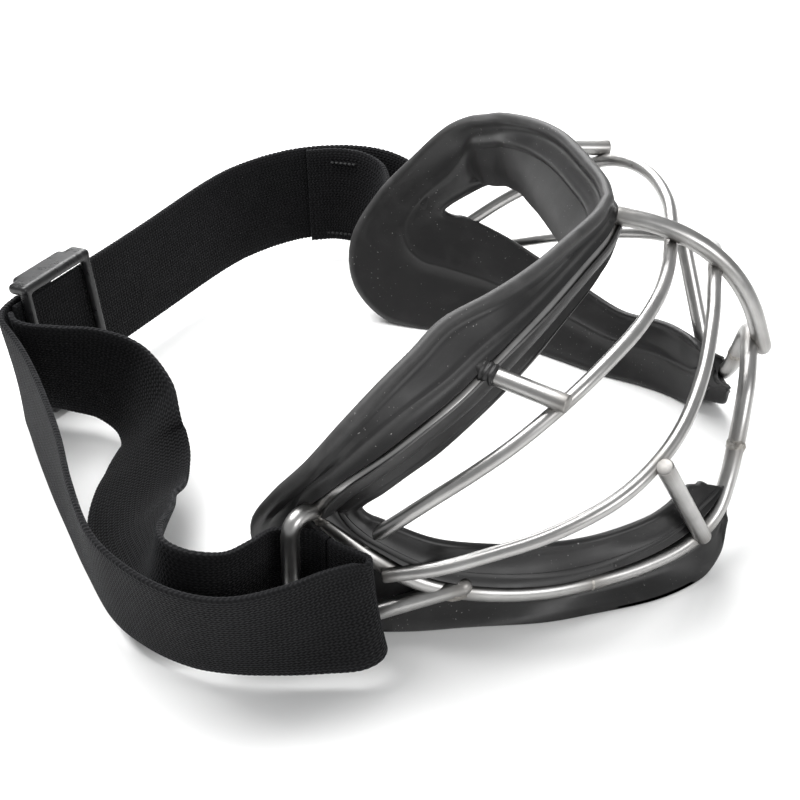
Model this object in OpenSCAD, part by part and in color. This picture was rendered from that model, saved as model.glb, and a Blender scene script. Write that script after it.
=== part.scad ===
// Wire-cage sports goggles: welded steel cage, moulded rubber gasket, elastic head strap.
// The goggles stand as they do on a table, on the lower edge of the gasket and of the strap.
// X runs across the face (wearer's left is +X), the front faces -Y, and +Z is up.
// Points are written for one side as [outward, forward, up], forward of the temple welds.

/* [Wire] */
// Diameter of the brow wire, lower wires, nose bridge and struts
heavy_wire = 4.4; // [4:0.1:4.6]
// Diameter of the four cage bars
cage_wire = 3.5; // [3:0.1:3.8]
// Diameter of the bar over the nose
centre_wire = 4.7; // [4.2:0.1:5]

/* [Gasket] */
// Thickness of the rubber skirt
skirt_t = 3; // [2.4:0.1:3.4]
// Thickness of the face rim
rim_t = 4; // [3:0.1:5]

/* [Strap] */
// Width of the elastic webbing
strap_w = 30; // [26:0.5:30]
// Width of the webbing where it turns round a post
turn_w = 23.4; // [22:0.2:23.4]
// Thickness of the webbing
strap_t = 1.6; // [1.2:0.1:1.8]

/* [Adjuster] */
// Length of the adjuster along the strap
slide_l = 27; // [25:0.5:29]
// Height of the adjuster across the strap
slide_h = 40; // [39:0.5:42]
// Thickness of each bar
bar_t = 3; // [2.6:0.1:3.2]

/* [Hidden] */

right = -1;
left = 1;
temple_y = -6.5;
tube_sides = 12;
steel = [0.72, 0.71, 0.69];
black = [0.09, 0.09, 0.10];
web_black = [0.07, 0.07, 0.08];

// Brow wire, from the end of the strap loop to the middle of the brow
loop_end = [73.5, 29.5, 15.5];
post_foot = [84, -9.5, 2.6];
post_head = [84, -9.5, 37.9];
temple_weld = [75.5, -4.8, 35.4];
brow_points = [[77.2, 2, 44.5], [73, 13.5, 53], [65, 23.5, 60], [56, 31, 65.3], [46.5, 36.8, 69],
    [34, 42.5, 71.4], [20, 48, 73.3], [9, 52, 74.5], [0, 53.6, 75]];

// Lower wire, from the weld under the brow wire to the weld on the nose bridge
lower_points = [[75.5, -3.2, 32], [76.2, 8, 23.4], [75, 20, 16.4], [70.5, 33, 11.6], [64, 47, 8.6],
    [56, 60, 7.4], [48, 71.5, 7.4], [40, 81, 9], [32.5, 87.5, 13.6], [26, 90, 20.5], [21.5, 91, 28]];
bridge_points = [[21.5, 91, 28], [17.5, 91.6, 34.5], [12.5, 92, 40.5], [6.5, 92, 44], [0, 92, 45]];

// Cage bars, from the temple to the middle
upper_bar_points = [[75.5, 3.5, 24.6], [75.6, 12, 32.5], [74.5, 21, 40.5], [72, 31, 48.5], [68, 40, 55.5],
    [60, 50, 63], [50, 57.5, 67.5], [38, 63.5, 69.8], [24, 67.5, 70.8], [11, 69, 71], [0, 69.2, 71]];
lower_bar_points = [[79, 11.5, 20.5], [78, 24, 23.8], [75.8, 36, 28.2], [72, 49, 33], [65, 61.5, 38.2],
    [56, 70, 42.8], [45, 76.2, 48], [32, 79.8, 54.8], [18, 81, 61.5], [7, 80.8, 65], [0, 80.7, 65.6]];

// Centre bar, an arc in the plane of symmetry that runs straight down at its lower end
centre_start = [0, 55.2, 78];
centre_points = [[0, 55.2, 78], [0, 64, 76.7], [0, 72.5, 74], [0, 80, 69.6], [0, 86.6, 63.2],
    [0, 91.6, 55], [0, 95.4, 44.6]];

// Struts, from the perimeter wire over the cage bar
brow_strut_points = [[57.5, 29.2, 66.2], [64.8, 49.6, 64.6]];
nose_strut_points = [[38, 85.2, 10.6], [56.7, 72.9, 44.5]];

// Gasket stations: wire groove, rear rim, outer corner and inner lip
gasket_rows = [
    [[28, 89.6, 16.5], [30, 84, 9], [30, 91.3, 9], [31, 83, 21]],
    [[33.5, 86.9, 12.8], [33, 83, 2.5], [34, 90.4, 2], [34, 80, 22]],
    [[40, 81, 9], [39, 76.5, -0.6], [43, 85.2, -0.6], [41, 75.6, 20.6]],
    [[48, 71.5, 7.4], [43, 67, -0.6], [52.3, 75, -0.6], [46.5, 70, 19.5]],
    [[57, 58.5, 7.4], [46.5, 54, -0.6], [60.8, 59, -0.6], [53, 58.6, 17.6]],
    [[64, 47, 8.6], [52, 41, -0.6], [66, 47.4, -0.6], [60.5, 47, 19.6]],
    [[70.5, 33, 11.6], [58, 26, -0.6], [70.5, 31, -0.6], [67.5, 34, 23]],
    [[75, 20, 16.4], [61, 11, -0.6], [74.5, 18, -0.6], [72.8, 21.6, 27.2]],
    [[76.2, 8, 23.4], [61.5, -3, -0.6], [76.8, 6, -0.6], [74.4, 9.8, 32.4]],
    [[76.2, 2, 27.6], [62.6, -13, 2], [77.6, -3, 3], [74.6, 6.8, 33.6]],
    [[75.8, -2.2, 31.6], [65.8, -21, 11], [77.8, -8, 15], [74.7, 5.2, 35]],
    [[75.5, -4.4, 35.4], [70, -22, 24], [77.5, -11, 28], [74.6, 4.6, 36.6]],
    [[76.4, -2, 39.6], [75.4, -15.5, 37.5], [78, -8.5, 39.5], [74.6, 6, 38.6]],
    [[77, 3, 45.6], [77.4, -7, 49], [78.6, -1.5, 47.5], [74.2, 10, 42]],
    [[75.2, 9.4, 50.6], [75.6, 1, 60], [77, 6, 56], [72.4, 15, 46.2]],
    [[70.6, 17, 56], [69.5, 8, 67.3], [71.5, 14, 62], [68, 21.6, 50.4]],
    [[63.5, 25, 61], [62, 14.2, 72.2], [64, 22.3, 66.8], [61.5, 28.6, 55.6]],
    [[56, 31, 65.3], [54.5, 20, 76.6], [56.4, 28.6, 71], [54, 34.4, 59.6]],
    [[46.5, 36.8, 69], [46, 29.6, 79.6], [47, 35.6, 74.4], [45, 40, 63.6]],
    [[34, 42.5, 71.4], [35, 38, 81.6], [34.6, 42, 76.6], [33, 45, 66]],
    [[20, 48, 73.3], [20, 45.6, 82.6], [20, 48.2, 78.4], [20, 49.8, 67.8]],
    [[9, 52, 74.5], [9, 50.4, 83], [9, 52.4, 79.4], [9, 53, 69.4]],
    [[0, 53.6, 75], [0, 52.4, 83.2], [0, 54, 79.8], [0, 54.4, 70]]];

// Strap stations: outward, forward, up, width and outward lean of the upper edge.
// The turn round a post is narrow, so that it clears both legs of the loop as the strap tilts.
turn_z = 21.3;
wide_z = 20.5;
slide_lean = 9;
tilt = tan(slide_lean);
left_run_rows = [[-5.9, -102.9, wide_z, strap_w, tilt], [12, -95.7, wide_z, strap_w, tilt],
    [43, -83.2, wide_z, strap_w, tilt], [75, -70.3, 20.8, strap_w, 0.24],
    [89, -61.5, 21, strap_w, 0.28], [99.5, -50, 21.2, strap_w, 0.3], [104.6, -37, 21.4, strap_w, 0.32],
    [104.6, -25, 21.4, strap_w, 0.3], [100.8, -14.6, 21.2, strap_w - 1.4, 0.2],
    [94.6, -6.2, 21.2, turn_w + 3, 0.08], [88.8, -1.2, turn_z, turn_w, 0]];
turn_rows = [[84.4, 0.2, turn_z, turn_w, 0], [81.5, -1.8, turn_z, turn_w, 0], [80.6, -6, turn_z, turn_w, 0],
    [80.6, -10.6, turn_z, turn_w, 0], [82, -14.8, turn_z, turn_w, 0]];
left_tail_rows = [[86.6, -17.8, turn_z, turn_w + 1.6, 0], [93, -20, 21.2, strap_w - 3, -0.08],
    [98.4, -24.8, 21.3, strap_w - 1, -0.22], [101.6, -31, 21.4, strap_w, -0.3],
    [102, -38, 21.4, strap_w, -0.32], [99.4, -45.8, 21.3, strap_w, -0.31]];
right_outer_rows = [[82.6, -0.6, turn_z, turn_w, 0], [84.3, 2, turn_z, turn_w + 0.2, 0],
    [85.9, 6.4, 21.2, turn_w + 1.6, -0.06], [87.6, 10.2, 21, strap_w - 2.5, -0.12],
    [90.6, 11.2, 20.6, strap_w - 1, -0.14], [93.6, 8.2, 20, strap_w, -0.12],
    [96.4, 1.2, 19.4, strap_w, -0.04], [100.6, -8, 19, strap_w, 0.12], [104, -19, 18.8, strap_w, 0.24],
    [103.6, -30, 18.8, strap_w, 0.24], [98.6, -42, 18.8, strap_w, 0.2],
    [89.6, -53.4, 18.8, strap_w, 0.15], [73.8, -64.4, 18.8, strap_w, 0.08],
    [58, -73.8, 18.8, strap_w, 0], [44.6, -82.2, 18.8, strap_w, -0.04],
    [33, -89.6, 19.2, strap_w, -0.04], [23.6, -95.8, 19.6, strap_w, 0], [16, -101.2, 20, strap_w, 0.06],
    [9.6, -105, 20.4, strap_w, tilt], [4.2, -106.2, wide_z, strap_w - 2, tilt],
    [-1.6, -104.8, wide_z, strap_w - 2, tilt]];
right_inner_rows = [[82.2, -1.2, turn_z, turn_w, 0], [80.9, -3.4, turn_z, turn_w, 0],
    [80.6, -7, turn_z, turn_w, 0], [80.6, -10.8, turn_z, turn_w, 0], [82.4, -15, turn_z, turn_w, 0],
    [88, -18, turn_z, turn_w + 2, 0.02], [93.6, -22.6, 21, strap_w - 2, 0.06],
    [95.8, -29, 21, strap_w, 0.04], [94.2, -36, 20.4, strap_w, -0.08],
    [88.4, -41.6, 18.8, strap_w, -0.26], [75.6, -47.4, 14.6, strap_w, -0.62],
    [61.6, -54.6, 10.4, strap_w, -1.2], [47.4, -58.8, 7.8, strap_w, -2], [37.4, -60.6, 8.2, strap_w, -1.8],
    [29, -62.2, 9.8, strap_w, -1.1], [19.8, -64.4, 13.6, strap_w, -0.5],
    [12.4, -71, 16.8, strap_w, -0.2], [10, -80, 19.2, strap_w, 0], [11, -89.6, 20.4, strap_w, 0.1],
    [11.2, -96.8, wide_z, strap_w, 0.13], [9.8, -101, wide_z, strap_w, 0.15],
    [6.6, -103.1, wide_z, strap_w, tilt]];

// Adjuster, square to the straight stretch of the strap
slide_at = [8, -97.3];
slide_turn = -22;
bar_gap = 0.3;

function unit(v) = v / norm(v);
function mix(a, b, k) = a * (1 - k) + b * k;
function place(side, p) = [side * p.x, temple_y - p.y, p.z];
function place_all(side, pts) = [for (p = pts) place(side, p)];
function mirrored(half) = concat([for (p = half) place(right, p)],
    [for (i = [len(half) - 2 : -1 : 0]) place(left, half[i])]);

// A smooth curve through the points, as a uniform Catmull-Rom spline
function curve_point(a, b, c, d, k) =
    0.5 * ((2 * b) + (c - a) * k + (2 * a - 5 * b + 4 * c - d) * k * k + (3 * b - a - 3 * c + d) * k * k * k);
function before_first(v) = 2 * v[0] - v[1];
function after_last(v) = 2 * v[len(v) - 1] - v[len(v) - 2];
function at(v, i) = i < 0 ? before_first(v) : i >= len(v) ? after_last(v) : v[i];
function smooth(v, steps) = concat(
    [for (i = [0 : len(v) - 2]) for (j = [0 : steps - 1])
        curve_point(at(v, i - 1), v[i], v[i + 1], at(v, i + 2), j / steps)],
    [v[len(v) - 1]]);

// Tangents, and a sideways direction carried along the curve without twist
function tangents(v) = [for (i = [0 : len(v) - 1]) unit(at(v, i + 1) - at(v, i - 1))];
function square_to(t, n) = unit(n - (n * t) * t);
function any_side(t) = square_to(t, abs(t.z) < 0.8 ? [0, 0, 1] : [1, 0, 0]);
function sides_along(t) = [for (i = 0, n = any_side(t[0]); i < len(t);
    i = i + 1, n = i < len(t) ? square_to(t[i], n) : n) n];

// A solid skinned over equal rings of points. On a thin twisted sheet the diagonals turn
// halfway round each ring, so that its two faces stay the same distance apart.
module skin(rings, sheet = false) {
    count = len(rings[0]);
    last = len(rings) - 1;
    walls = [for (i = [0 : last - 1]) for (j = [0 : count - 1]) for (half = [0, 1])
        let (a = i * count + j, b = i * count + (j + 1) % count, c = a + count, d = b + count)
        sheet && j >= count / 2 ? (half == 0 ? [a, c, b] : [c, d, b]) : (half == 0 ? [a, d, b] : [a, c, d])];
    start_cap = [for (j = [0 : count - 1]) j];
    end_cap = [for (j = [count - 1 : -1 : 0]) last * count + j];
    polyhedron([for (r = rings) for (p = r) p], concat(walls, [start_cap, end_cap]), convexity = 8);
}

module tube(v, diameter) {
    t = tangents(v);
    n = sides_along(t);
    skin([for (i = [0 : len(v) - 1]) let (across = cross(t[i], n[i]))
        [for (k = [0 : tube_sides - 1]) let (angle = k * 360 / tube_sides)
            v[i] + diameter / 2 * (n[i] * cos(angle) + across * sin(angle))]]);
}

module rod(from, to, diameter) {
    run = to - from;
    translate(from)
        rotate([0, acos(run.z / norm(run)), atan2(run.y, run.x)])
            cylinder(h = norm(run), d = diameter, $fn = 32);
}

// A rounded corner of a bent wire, between two straight legs
function bend(from, corner, to, radius, steps = 5) =
    let (a = corner + unit(from - corner) * radius, b = corner + unit(to - corner) * radius)
    [for (i = [0 : steps]) let (k = i / steps) mix(mix(a, corner, k), mix(corner, b, k), k)];

module brow_wire() {
    half = concat([loop_end], bend(loop_end, post_foot, post_head, 6),
        bend(post_foot, post_head, temple_weld, 6), smooth(concat([temple_weld], brow_points), 2));
    color(steel) tube(mirrored(half), heavy_wire);
}

module lower_wire(side) {
    color(steel) tube(place_all(side, smooth(lower_points, 3)), heavy_wire);
}

module nose_bridge() {
    color(steel) tube(mirrored(smooth(bridge_points, 3)), heavy_wire);
}

module centre_bar() {
    color(steel) {
        tube(place_all(left, smooth(centre_points, 3)), centre_wire);
        translate(place(left, centre_points[len(centre_points) - 1]))
            sphere(d = centre_wire - 0.02, $fn = 32);
    }
}

module upper_cage_bar(side) {
    color(steel) tube(place_all(side, smooth(upper_bar_points, 2)), cage_wire);
}

module lower_cage_bar(side) {
    color(steel) tube(place_all(side, smooth(lower_bar_points, 2)), cage_wire);
}

module brow_strut(side) {
    color(steel) rod(place(side, brow_strut_points[0]), place(side, brow_strut_points[1]), heavy_wire);
}

module nose_strut(side) {
    color(steel) rod(place(side, nose_strut_points[0]), place(side, nose_strut_points[1]), heavy_wire);
}

// Weld beads, one small bead beside each joint of two wires
module weld_beads() {
    color([0.45, 0.43, 0.41])
        for (side = [right, left], p = [[73.5, 27.5, 13.6], [75.5, -4, 33.7], [21.5, 91, 28]])
            translate(place(side, p)) sphere(d = heavy_wire + 0.5, $fn = 32);
}

// Outline of the gasket across its length, open to the front where the wire lies
function section(row, t) =
    let (wire = row[0], rim = row[1], corner = row[2], lip = row[3],
        span = unit(rim - lip - ((rim - lip) * t) * t), front = unit(cross(t, span)),
        groove = heavy_wire / 2 + 0.15, edge = groove + 1)
    concat(
        [rim + front * rim_t / 2, corner, wire + span * (edge + 1) + front * 0.6,
            wire + span * edge + front * 1.2],
        [for (angle = [0, -45, -90, -135, -180]) wire + groove * (span * cos(angle) + front * sin(angle))],
        [wire - span * edge + front * 1.2, lip + front * skirt_t / 2, lip - front * skirt_t / 2,
            mix(lip, rim, 0.42) - front * 1.8, rim - front * rim_t / 2]);

// Gasket: one moulding round both eyes, open at the nose
module gasket() {
    rows = [for (k = [0 : 3]) smooth([for (r = gasket_rows) r[k]], 2)];
    count = len(rows[0]);
    t = tangents(rows[0]);
    half = [for (i = [0 : count - 1]) section([for (k = [0 : 3]) rows[k][i]],
        i == count - 1 ? [-1, 0, 0] : t[i])];
    right_rings = [for (r = half) place_all(right, r)];
    left_rings = [for (i = [count - 2 : -1 : 0]) place_all(left, half[i])];
    color(black) difference() {
        skin(concat(right_rings, left_rings));
        translate([-150, -150, -10]) cube([300, 300, 10]);
    }
}

// Flat webbing skinned over stations
module webbing(side, stations) {
    rows = smooth(stations, 2);
    mid = [for (r = rows) place(side, r)];
    flat = tangents([for (p = mid) [p.x, p.y, 0]]);
    t = tangents(mid);
    rings = [for (i = [0 : len(mid) - 1])
        let (out = cross([0, 0, 1], flat[i]),
            up = square_to(t[i], [0, 0, 1] + out * rows[i][4]),
            across = cross(up, t[i]), h = up * rows[i][3] / 2, d = across * strap_t / 2)
        [mid[i] + h + d, mid[i] + h - d, mid[i] - h - d, mid[i] - h + d]];
    skin(rings, sheet = true);
}

module strap_left_run() {
    color(black) webbing(left, concat(left_run_rows, turn_rows, left_tail_rows));
}

module strap_right_outer() {
    color(black) webbing(right, right_outer_rows);
}

module strap_right_inner() {
    color(black) webbing(right, right_inner_rows);
}

// Everything on the adjuster is drawn along the strap, then set in place.
// Here +X runs along the strap to the wearer's left and +Y points away from the head.
module on_strap() {
    translate([slide_at.x, temple_y - slide_at.y, wide_z]) rotate([-slide_lean, 0, slide_turn]) children();
}

module adjuster_slide() {
    bar_back = strap_t / 2 + bar_gap + bar_t / 2;
    bar_front = strap_t + bar_back + 0.2;
    reach = slide_l / 2 - bar_t / 2;
    rail_z = slide_h / 2 - bar_t / 2;
    color(black) on_strap() {
        for (x = [-reach, reach]) translate([x, -bar_back, -rail_z]) cylinder(h = 2 * rail_z, d = bar_t, $fn = 32);
        translate([0, bar_front, -rail_z]) cylinder(h = 2 * rail_z, d = bar_t, $fn = 32);
        for (z = [-rail_z, rail_z]) {
            translate([-reach, -bar_back - bar_t / 2, z - bar_t / 2])
                cube([2 * reach, bar_back + bar_front + bar_t / 2, bar_t]);
            for (x = [-reach, reach]) translate([x, 0, z - bar_t / 2])
                translate([0, -bar_back, 0]) cylinder(h = bar_t, d = bar_t, $fn = 32);
            for (x = [-reach, reach]) translate([x, -bar_back, z - bar_t / 2])
                translate([-bar_t / 2, 0, 0]) cube([bar_t, bar_back + bar_front, bar_t]);
        }
    }
}

// Short end of the strap, sewn round the middle bar of the adjuster
module adjuster_tab() {
    bar_front = strap_t * 1.5 + bar_gap + bar_t / 2 + 0.2;
    color(black) on_strap() translate([0, bar_front, -strap_w / 2 + 1])
        linear_extrude(strap_w - 2) difference() {
            union() {
                circle(d = bar_t + 0.2 + 2 * strap_t, $fn = 32);
                translate([-8, -strap_t]) square([8, 2 * strap_t]);
            }
            circle(d = bar_t + 0.2, $fn = 32);
        }
}

// Rows of stitches through the sewn end of the left run
module strap_stitching() {
    color([0.13, 0.13, 0.14])
        for (row = [0 : 1], i = [0 : 5])
            translate(place(left, [97.5 + 6.6 * row, -32 - 1.4 * i, 9.5 + row * 22]))
                rotate([0, 17, 0]) rotate([0, 0, 84]) cube([0.9, 0.9, 0.5], center = true);
}

brow_wire();
lower_wire(right);  // lower_wire_right
lower_wire(left);  // lower_wire_left
nose_bridge();
centre_bar();
upper_cage_bar(right);  // upper_cage_bar_right
upper_cage_bar(left);  // upper_cage_bar_left
lower_cage_bar(right);  // lower_cage_bar_right
lower_cage_bar(left);  // lower_cage_bar_left
brow_strut(right);  // brow_strut_right
brow_strut(left);  // brow_strut_left
nose_strut(right);  // nose_strut_right
nose_strut(left);  // nose_strut_left
weld_beads();
gasket();
strap_left_run();
strap_right_outer();
strap_right_inner();
strap_stitching();
adjuster_slide();
adjuster_tab();
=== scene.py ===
"""Visual model of the wire-cage goggles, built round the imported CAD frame."""
import math

import bmesh
import bpy
import numpy as np
from mathutils import Matrix, Vector, noise


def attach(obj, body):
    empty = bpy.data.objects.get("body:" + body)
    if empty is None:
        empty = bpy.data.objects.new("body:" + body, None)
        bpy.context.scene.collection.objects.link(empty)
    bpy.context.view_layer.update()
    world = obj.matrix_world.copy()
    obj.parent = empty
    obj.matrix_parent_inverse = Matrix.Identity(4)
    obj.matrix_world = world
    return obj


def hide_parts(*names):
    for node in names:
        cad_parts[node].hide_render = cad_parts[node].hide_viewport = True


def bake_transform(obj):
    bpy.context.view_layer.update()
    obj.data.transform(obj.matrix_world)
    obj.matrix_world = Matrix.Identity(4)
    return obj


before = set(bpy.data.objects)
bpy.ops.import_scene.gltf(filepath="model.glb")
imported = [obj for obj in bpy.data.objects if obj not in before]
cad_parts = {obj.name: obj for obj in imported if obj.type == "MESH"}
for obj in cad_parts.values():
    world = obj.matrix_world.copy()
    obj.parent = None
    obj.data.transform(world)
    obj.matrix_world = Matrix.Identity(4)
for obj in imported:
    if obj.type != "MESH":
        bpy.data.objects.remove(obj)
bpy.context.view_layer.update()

# Without a seed, noise.noise_vector differs from run to run
noise.seed_set(11)
MM = 0.001
TEMPLE_Y = -6.5
RIGHT, LEFT = -1, 1
WIRE_R, CAGE_R, CENTRE_R = 2.2, 1.75, 2.35
STRAP_T = 1.6

# Routes of the CAD model, one side, as [outward, forward, up] in millimetres
LOOP_END = [73.5, 29.5, 15.5]
POST_FOOT = [84, -9.5, 2.6]
POST_HEAD = [84, -9.5, 37.9]
TEMPLE_WELD = [75.5, -4.8, 35.4]
BROW = [[77.2, 2, 44.5], [73, 13.5, 53], [65, 23.5, 60], [56, 31, 65.3], [46.5, 36.8, 69],
        [34, 42.5, 71.4], [20, 48, 73.3], [9, 52, 74.5], [0, 53.6, 75]]
LOWER = [[75.5, -3.2, 32], [76.2, 8, 23.4], [75, 20, 16.4], [70.5, 33, 11.6], [64, 47, 8.6],
         [56, 60, 7.4], [48, 71.5, 7.4], [40, 81, 9], [32.5, 87.5, 13.6], [26, 90, 20.5],
         [21.5, 91, 28]]
BRIDGE = [[21.5, 91, 28], [17.5, 91.6, 34.5], [12.5, 92, 40.5], [6.5, 92, 44], [0, 92, 45]]
UPPER_BAR = [[75.5, 3.5, 24.6], [75.6, 12, 32.5], [74.5, 21, 40.5], [72, 31, 48.5],
             [68, 40, 55.5], [60, 50, 63], [50, 57.5, 67.5], [38, 63.5, 69.8], [24, 67.5, 70.8],
             [11, 69, 71], [0, 69.2, 71]]
LOWER_BAR = [[79, 11.5, 20.5], [78, 24, 23.8], [75.8, 36, 28.2], [72, 49, 33], [65, 61.5, 38.2],
             [56, 70, 42.8], [45, 76.2, 48], [32, 79.8, 54.8], [18, 81, 61.5], [7, 80.8, 65],
             [0, 80.7, 65.6]]
CENTRE = [[0, 55.2, 78], [0, 64, 76.7], [0, 72.5, 74], [0, 80, 69.6], [0, 86.6, 63.2],
          [0, 91.6, 55], [0, 95.4, 44.6]]
BROW_STRUT = [[57.5, 29.2, 66.2], [64.8, 49.6, 64.6]]
NOSE_STRUT = [[38, 85.2, 10.6], [56.7, 72.9, 44.5]]

# Gasket stations: wire groove, rear rim, outer corner and inner lip
GASKET = [
    [[28, 89.6, 16.5], [30, 84, 9], [30, 91.3, 9], [31, 83, 21]],
    [[33.5, 86.9, 12.8], [33, 83, 2.5], [34, 90.4, 2], [34, 80, 22]],
    [[40, 81, 9], [39, 76.5, -0.6], [43, 85.2, -0.6], [41, 75.6, 20.6]],
    [[48, 71.5, 7.4], [43, 67, -0.6], [52.3, 75, -0.6], [46.5, 70, 19.5]],
    [[57, 58.5, 7.4], [46.5, 54, -0.6], [60.8, 59, -0.6], [53, 58.6, 17.6]],
    [[64, 47, 8.6], [52, 41, -0.6], [66, 47.4, -0.6], [60.5, 47, 19.6]],
    [[70.5, 33, 11.6], [58, 26, -0.6], [70.5, 31, -0.6], [67.5, 34, 23]],
    [[75, 20, 16.4], [61, 11, -0.6], [74.5, 18, -0.6], [72.8, 21.6, 27.2]],
    [[76.2, 8, 23.4], [61.5, -3, -0.6], [76.8, 6, -0.6], [74.4, 9.8, 32.4]],
    [[76.2, 2, 27.6], [62.6, -13, 2], [77.6, -3, 3], [74.6, 6.8, 33.6]],
    [[75.8, -2.2, 31.6], [65.8, -21, 11], [77.8, -8, 15], [74.7, 5.2, 35]],
    [[75.5, -4.4, 35.4], [70, -22, 24], [77.5, -11, 28], [74.6, 4.6, 36.6]],
    [[76.4, -2, 39.6], [75.4, -15.5, 37.5], [78, -8.5, 39.5], [74.6, 6, 38.6]],
    [[77, 3, 45.6], [77.4, -7, 49], [78.6, -1.5, 47.5], [74.2, 10, 42]],
    [[75.2, 9.4, 50.6], [75.6, 1, 60], [77, 6, 56], [72.4, 15, 46.2]],
    [[70.6, 17, 56], [69.5, 8, 67.3], [71.5, 14, 62], [68, 21.6, 50.4]],
    [[63.5, 25, 61], [62, 14.2, 72.2], [64, 22.3, 66.8], [61.5, 28.6, 55.6]],
    [[56, 31, 65.3], [54.5, 20, 76.6], [56.4, 28.6, 71], [54, 34.4, 59.6]],
    [[46.5, 36.8, 69], [46, 29.6, 79.6], [47, 35.6, 74.4], [45, 40, 63.6]],
    [[34, 42.5, 71.4], [35, 38, 81.6], [34.6, 42, 76.6], [33, 45, 66]],
    [[20, 48, 73.3], [20, 45.6, 82.6], [20, 48.2, 78.4], [20, 49.8, 67.8]],
    [[9, 52, 74.5], [9, 50.4, 83], [9, 52.4, 79.4], [9, 53, 69.4]],
    [[0, 53.6, 75], [0, 52.4, 83.2], [0, 54, 79.8], [0, 54.4, 70]]]
BROW_SHARE = [0, 0, 0, 0, 0, 0, 0, 0, 0, 0.1, 0.3, 0.6, 0.9, 1, 1, 1, 1, 1, 1, 1, 1, 1, 1]

# Strap stations: outward, forward, up, width and outward lean of the upper edge
TILT = math.tan(math.radians(9))
LEFT_RUN = [[-5.9, -102.9, 20.5, 30, TILT], [12, -95.7, 20.5, 30, TILT], [43, -83.2, 20.5, 30, TILT],
            [75, -70.3, 20.8, 30, 0.24], [89, -61.5, 21, 30, 0.28], [99.5, -50, 21.2, 30, 0.3],
            [104.6, -37, 21.4, 30, 0.32], [104.6, -25, 21.4, 30, 0.3],
            [100.8, -14.6, 21.2, 28.6, 0.2], [94.6, -6.2, 21.2, 26.4, 0.08],
            [88.8, -1.2, 21.3, 23.4, 0]]
TURN = [[84.4, 0.2, 21.3, 23.4, 0], [81.5, -1.8, 21.3, 23.4, 0], [80.6, -6, 21.3, 23.4, 0],
        [80.6, -10.6, 21.3, 23.4, 0], [82, -14.8, 21.3, 23.4, 0]]
LEFT_TAIL = [[86.6, -17.8, 21.3, 25, 0], [93, -20, 21.2, 27, -0.08], [98.4, -24.8, 21.3, 29, -0.22],
             [101.6, -31, 21.4, 30, -0.3], [102, -38, 21.4, 30, -0.32], [99.4, -45.8, 21.3, 30, -0.31]]
RIGHT_OUTER = [[82.6, -0.6, 21.3, 23.4, 0], [84.3, 2, 21.3, 23.6, 0], [85.9, 6.4, 21.2, 25, -0.06],
               [87.6, 10.2, 21, 27.5, -0.12], [90.6, 11.2, 20.6, 29, -0.14], [93.6, 8.2, 20, 30, -0.12],
               [96.4, 1.2, 19.4, 30, -0.04], [100.6, -8, 19, 30, 0.12], [104, -19, 18.8, 30, 0.24],
               [103.6, -30, 18.8, 30, 0.24], [98.6, -42, 18.8, 30, 0.2], [89.6, -53.4, 18.8, 30, 0.15],
               [73.8, -64.4, 18.8, 30, 0.08], [58, -73.8, 18.8, 30, 0], [44.6, -82.2, 18.8, 30, -0.04],
               [33, -89.6, 19.2, 30, -0.04], [23.6, -95.8, 19.6, 30, 0], [16, -101.2, 20, 30, 0.06],
               [9.6, -105, 20.4, 30, TILT], [4.2, -106.2, 20.5, 28, TILT], [-1.6, -104.8, 20.5, 28, TILT]]
RIGHT_INNER = [[82.2, -1.2, 21.3, 23.4, 0], [80.9, -3.4, 21.3, 23.4, 0], [80.6, -7, 21.3, 23.4, 0],
               [80.6, -10.8, 21.3, 23.4, 0], [82.4, -15, 21.3, 23.4, 0], [88, -18, 21.3, 25.4, 0.02],
               [93.6, -22.6, 21, 28, 0.06], [95.8, -29, 21, 30, 0.04], [94.2, -36, 20.4, 30, -0.08],
               [88.4, -41.6, 18.8, 30, -0.26], [75.6, -47.4, 14.6, 30, -0.62], [61.6, -54.6, 10.4, 30, -1.2],
               [47.4, -58.8, 7.8, 30, -2], [37.4, -60.6, 8.2, 30, -1.8], [29, -62.2, 9.8, 30, -1.1],
               [19.8, -64.4, 13.6, 30, -0.5], [12.4, -71, 16.8, 30, -0.2], [10, -80, 19.2, 30, 0],
               [11, -89.6, 20.4, 30, 0.1], [11.2, -96.8, 20.5, 30, 0.13], [9.8, -101, 20.5, 30, 0.15],
               [6.6, -103.1, 20.5, 30, TILT]]


# ---------------------------------------------------------------- curves and meshes
def unit(v):
    return v / np.maximum(np.linalg.norm(v, axis=-1, keepdims=True), 1e-12)


def smooth(rows, steps):
    v = np.array(rows, float)
    p = np.concatenate([[2 * v[0] - v[1]], v, [2 * v[-1] - v[-2]]])
    out = []
    for i in range(len(v) - 1):
        a, b, c, d = p[i], p[i + 1], p[i + 2], p[i + 3]
        for j in range(steps):
            k = j / steps
            out.append(0.5 * (2 * b + (c - a) * k + (2 * a - 5 * b + 4 * c - d) * k * k
                              + (3 * b - a - 3 * c + d) * k ** 3))
    out.append(v[-1])
    return np.array(out)


def lengths(points):
    return np.concatenate([[0], np.cumsum(np.linalg.norm(np.diff(points[:, :3], axis=0), axis=1))])


def lengths_round(ring):
    """Surface length at each point of a closed ring, and back at its start."""
    return lengths(np.concatenate([ring, ring[:1]]))


def even(rows, step):
    """Rows at an even spacing along the curve of their first three columns."""
    s = lengths(rows)
    at = np.linspace(0, s[-1], max(3, int(round(s[-1] / step)) + 1))
    return np.stack([np.interp(at, s, rows[:, k]) for k in range(rows.shape[1])], axis=1)


def place(side, v):
    v = np.array(v, float)
    return np.stack([side * v[..., 0], TEMPLE_Y - v[..., 1], v[..., 2]], axis=-1)


def tangents(p):
    return unit(np.gradient(p, axis=0))


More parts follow.
